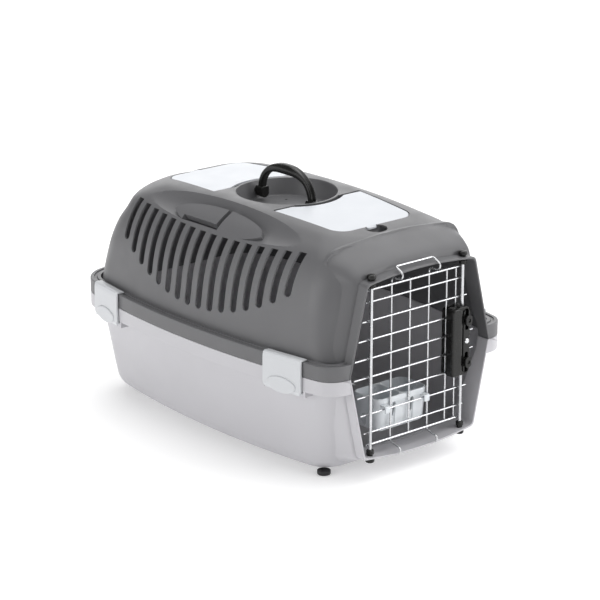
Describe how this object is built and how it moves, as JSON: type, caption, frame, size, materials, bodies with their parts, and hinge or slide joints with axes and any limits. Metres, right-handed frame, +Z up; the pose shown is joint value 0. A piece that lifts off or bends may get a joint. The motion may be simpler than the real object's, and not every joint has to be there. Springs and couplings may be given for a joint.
{
  "type": "pet transport carrier",
  "caption": "Two-part moulded pet carrier with a hinged wire door, sliding bolt latch, snap clips, folding top handle, two lidded wells and a hung bowl.",
  "frame": {"origin": "on the floor, under the middle of the overall box", "axes": "+Z up, -Y out of the door, +X to the right when the door is seen from inside the -Y side looking along +Y"},
  "size_m": [0.3998, 0.6099, 0.396],
  "materials": {
    "light_grey_shell": "satin",
    "dark_grey_shell": "satin",
    "white_lid": "satin",
    "pale_clip": "satin",
    "black_nylon": "satin",
    "zinc_wire": "bright zinc plate",
    "dark_rubber": "matt",
    "milky_bowl": "translucent"
  },
  "bodies": {
    "carrier": {"bottom_tray": "light_grey_shell", "top_shell": "dark_grey_shell", "bushing_top_left": "black_nylon", "bushing_top_right": "black_nylon", "bushing_bottom_left": "black_nylon", "bushing_bottom_right": "black_nylon", "foot_front_left": "dark_rubber", "foot_front_right": "dark_rubber", "foot_rear_left": "dark_rubber", "foot_rear_right": "dark_rubber"},
    "door": {"door_grid": "zinc_wire", "hinge_rod": "zinc_wire", "latch_housing": "black_nylon", "latch_back_plate": "black_nylon", "latch_rivet": "zinc_wire", "latch_spring_upper": "zinc_wire", "latch_spring_lower": "zinc_wire", "double_bowl": "milky_bowl"},
    "latch_upper": {"latch_slider_upper": "black_nylon", "latch_rod_upper": "zinc_wire"},
    "latch_lower": {"latch_slider_lower": "black_nylon", "latch_rod_lower": "zinc_wire"},
    "handle": {"carry_handle": "black_nylon"},
    "lid_front": {"lid_front": "white_lid"},
    "lid_rear": {"lid_rear": "white_lid"},
    "clip_front_left": {"clip_front_left": "pale_clip"},
    "clip_front_right": {"clip_front_right": "pale_clip"},
    "clip_rear_left": {"clip_rear_left": "pale_clip"},
    "clip_rear_right": {"clip_rear_right": "pale_clip"}
  },
  "joints": [
    {"name": "door_swing", "type": "hinge", "parent": "carrier", "child": "door", "pos_m": [-0.089, -0.288, 0.17], "axis": [0, 0, -1], "range_deg": [0, 110]},
    {"name": "latch_upper_slide", "type": "slide", "parent": "door", "child": "latch_upper", "axis": [0, 0, 1], "range_m": [0, 0.008], "deforming": ["latch_spring_upper"]},
    {"name": "latch_lower_slide", "type": "slide", "parent": "door", "child": "latch_lower", "axis": [0, 0, -1], "range_m": [0, 0.008], "deforming": ["latch_spring_lower"]},
    {"name": "handle_fold", "type": "hinge", "parent": "carrier", "child": "handle", "pos_m": [0, 0, 0.341], "axis": [0, 1, 0], "range_deg": [-85, 85]},
    {"name": "lid_front_lift", "type": "hinge", "parent": "carrier", "child": "lid_front", "pos_m": [0, -0.0755, 0.3504], "axis": [-1, 0, 0], "range_deg": [0, 88]},
    {"name": "lid_rear_lift", "type": "hinge", "parent": "carrier", "child": "lid_rear", "pos_m": [0, 0.0755, 0.3504], "axis": [1, 0, 0], "range_deg": [0, 88]},
    {"name": "clip_front_left_pivot", "type": "hinge", "parent": "carrier", "child": "clip_front_left", "pos_m": [-0.18076, -0.20842, 0.1395], "axis": [0.1447, -0.9895, 0], "range_deg": [0, 35]},
    {"name": "clip_front_right_pivot", "type": "hinge", "parent": "carrier", "child": "clip_front_right", "pos_m": [0.18076, -0.20842, 0.1395], "axis": [0.1447, 0.9895, 0], "range_deg": [0, 35]},
    {"name": "clip_rear_left_pivot", "type": "hinge", "parent": "carrier", "child": "clip_rear_left", "pos_m": [-0.18076, 0.20842, 0.1395], "axis": [-0.1447, -0.9895, 0], "range_deg": [0, 35]},
    {"name": "clip_rear_right_pivot", "type": "hinge", "parent": "carrier", "child": "clip_rear_right", "pos_m": [0.18076, 0.20842, 0.1395], "axis": [-0.1447, 0.9895, 0], "range_deg": [0, 35]}
  ]
}
